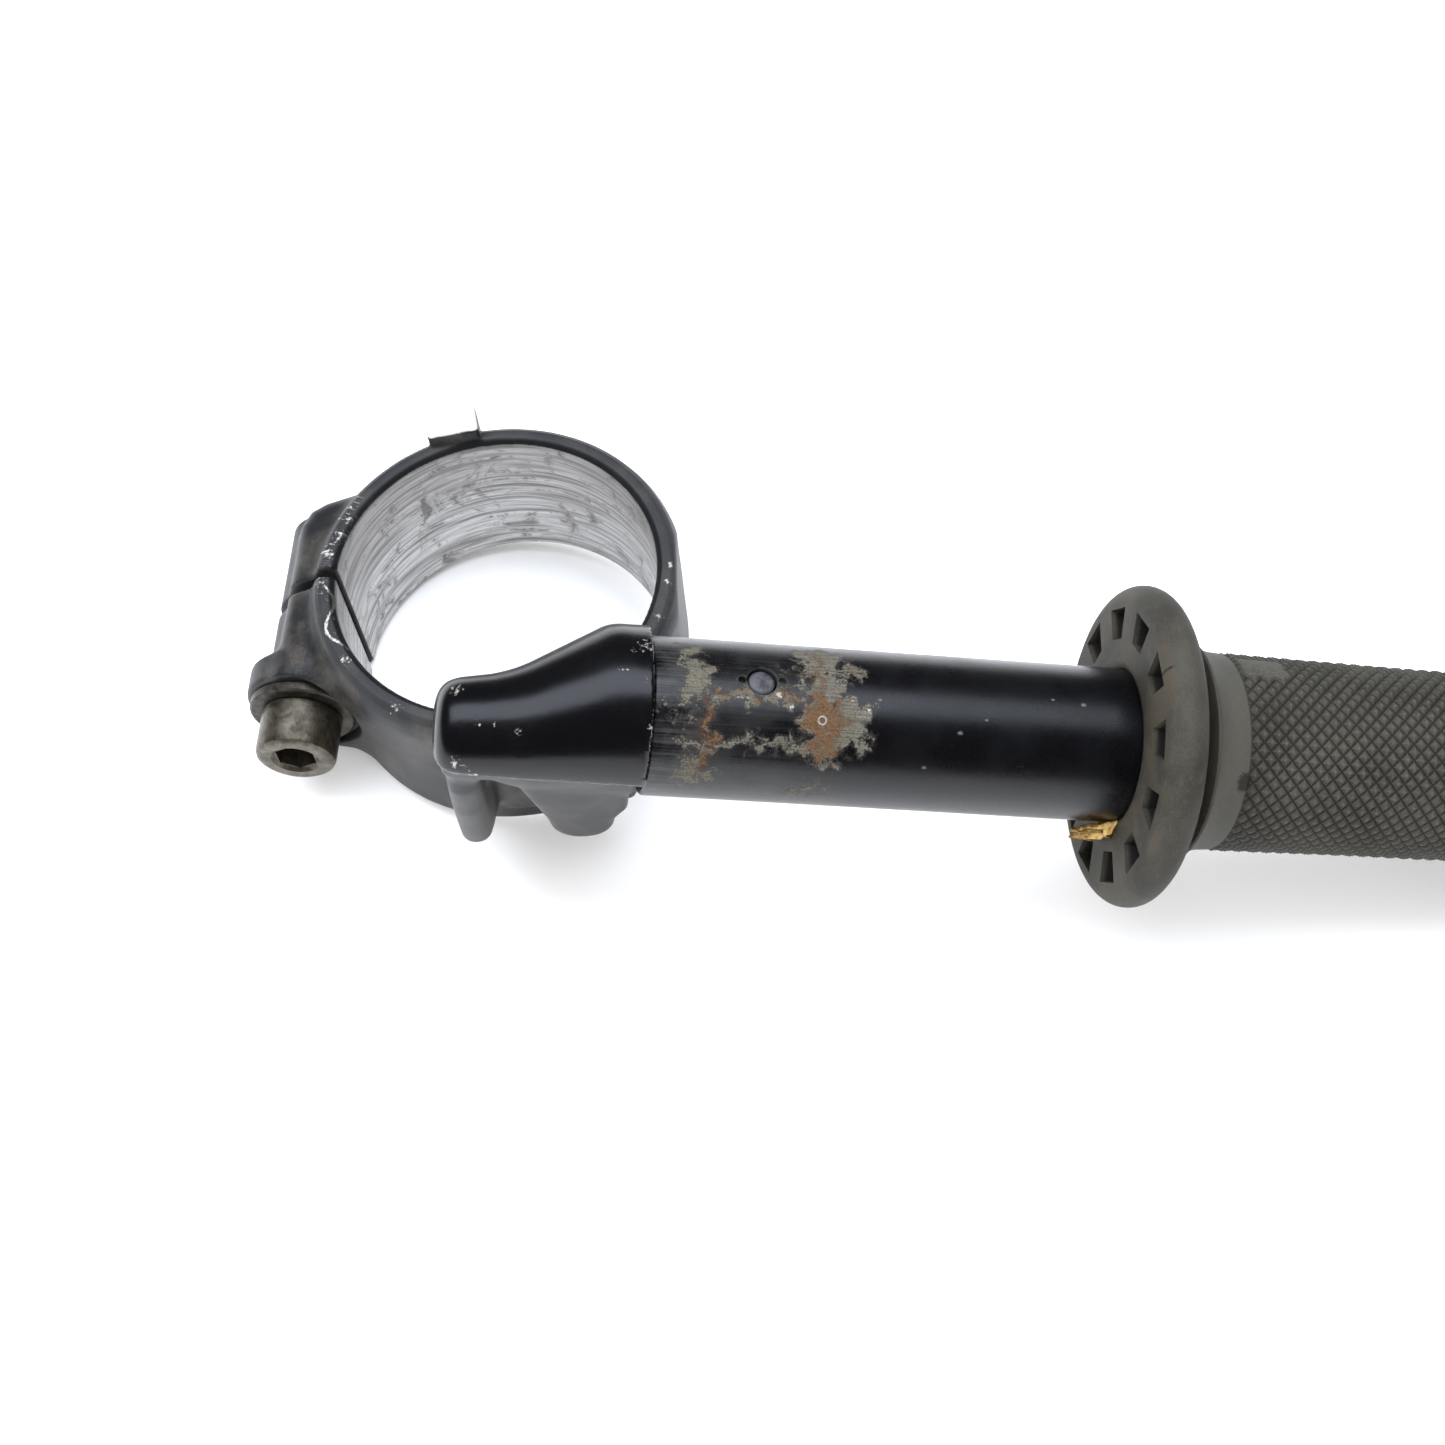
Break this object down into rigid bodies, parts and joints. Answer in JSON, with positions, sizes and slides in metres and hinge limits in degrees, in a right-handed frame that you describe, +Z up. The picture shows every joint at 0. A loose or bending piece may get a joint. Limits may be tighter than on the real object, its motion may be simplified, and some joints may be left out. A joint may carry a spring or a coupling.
{
  "type": "clip-on handlebar with grip",
  "caption": "Left clip-on handlebar: split fork clamp with a pinch bolt, pinned bar tube, fixed flanged rubber grip with diamond knurl, and bar-end weight.",
  "frame": {"origin": "centre of the fork bore in the clamp's top face", "axes": "+Z up along the fork tube, +X towards the grip, +Y to the back of the fork, so the bar passes in front of it"},
  "size_m": [0.2873, 0.09, 0.0796],
  "materials": {
    "clamp_alloy": "satin black coating over a forging, worn at the rim",
    "bolt_coating": "dull olive bronze coating",
    "washer_steel": "dull grey steel",
    "tube_paint": "gloss black, worn through and rusted near the clamp",
    "pin_steel": "dull grey steel",
    "grip_rubber": "faded black rubber, dusty",
    "dried_cement": "brittle yellow brown film",
    "damper_steel": "black oxide",
    "ring_rubber": "black rubber",
    "spring_steel": "zinc plated",
    "end_paint": "satin black",
    "screw_oxide": "black oxide"
  },
  "bodies": {
    "bar_assembly": {"fork_clamp": "clamp_alloy", "bar_tube": "tube_paint", "retaining_pin": "pin_steel", "rubber_grip": "grip_rubber", "grip_cement": "dried_cement", "damper_weight": "damper_steel", "damper_rings": "ring_rubber", "weight_retainer": "spring_steel"},
    "washer": {"pinch_washer": "washer_steel"},
    "bolt": {"pinch_bolt": "bolt_coating"},
    "end_weight": {"bar_end_weight": "end_paint"},
    "end_screw": {"bar_end_screw": "screw_oxide"}
  },
  "joints": [
    {"name": "pinch_travel", "type": "slide", "parent": "bar_assembly", "child": "washer", "axis": [-0.0698, -0.9976, 0], "range_m": [0, 0.0113]},
    {"name": "pinch_turn", "type": "hinge", "parent": "washer", "child": "bolt", "pos_m": [-0.03102, 0.00217, -0.01425], "axis": [-0.0698, -0.9976, 0], "range_deg": [0, 3240]},
    {"name": "end_weight_travel", "type": "slide", "parent": "bar_assembly", "child": "end_weight", "axis": [0.9724, 0, -0.2334], "range_m": [0, 0.011]},
    {"name": "end_screw_turn", "type": "hinge", "parent": "end_weight", "child": "end_screw", "pos_m": [0, -0.036, 0.021], "axis": [0.9724, 0, -0.2334], "range_deg": [0, 3965]}
  ],
  "couplings": [
    {"joint": "pinch_travel", "follows": "pinch_turn", "m_per_rad": 0.00019894},
    {"joint": "end_screw_turn", "follows": "end_weight_travel", "rad_per_m": 6283.2}
  ]
}
